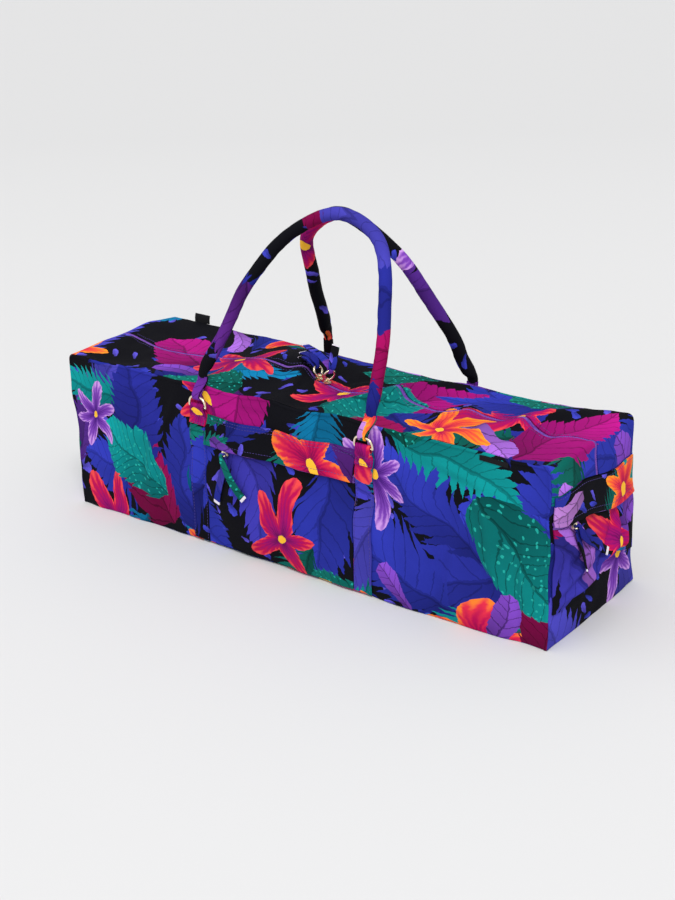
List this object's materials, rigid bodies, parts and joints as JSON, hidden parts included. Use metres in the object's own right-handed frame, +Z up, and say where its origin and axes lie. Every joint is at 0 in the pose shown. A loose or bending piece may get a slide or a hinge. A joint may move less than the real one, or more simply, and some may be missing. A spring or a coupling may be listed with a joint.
{
  "type": "yoga kit bag",
  "caption": "Long soft yoga kit bag in dark printed canvas with a zip along the top, a front pocket, an end pocket and rolled carrying handles on D rings.",
  "frame": {"origin": "centre of the underside of the base", "axes": "+X along the bag towards the end pocket, the front wall faces -Y, +Z up"},
  "size_m": [0.7902, 0.2352, 0.4458],
  "materials": {
    "canvas": "matte printed canvas",
    "handle": "matte printed canvas",
    "zip": "satin nylon coil",
    "metal": "polished pale gold",
    "label": "matte woven tape"
  },
  "bodies": {
    "root": {"front_panel": "canvas", "back_panel": "canvas", "base_panel": "canvas", "end_panel_left": "canvas", "end_panel_right": "canvas", "top_panel_front": "canvas", "top_panel_back": "canvas", "top_zip": "zip", "strap_front_left": "canvas", "strap_front_right": "canvas", "strap_back_left": "canvas", "strap_back_right": "canvas", "ring_front_left": "metal", "ring_front_right": "metal", "ring_back_left": "metal", "ring_back_right": "metal", "handle_tab_front_left": "handle", "handle_tab_front_right": "handle", "handle_tab_back_left": "handle", "handle_tab_back_right": "handle", "handle_front": "handle", "handle_back": "handle", "front_pocket_panel": "canvas", "front_pocket_flap": "canvas", "front_pocket_zip": "zip", "end_pocket_panel": "canvas", "end_pocket_band": "canvas", "end_pocket_zip": "zip", "top_slider_left": "metal", "top_slider_right": "metal", "top_ring_left": "metal", "top_ring_right": "metal", "top_pull_left": "canvas", "top_pull_right": "canvas", "front_slider": "metal", "front_pull": "canvas", "end_slider": "metal", "end_pull": "canvas", "label_front": "label", "label_back": "label"}
  },
  "joints": []
}
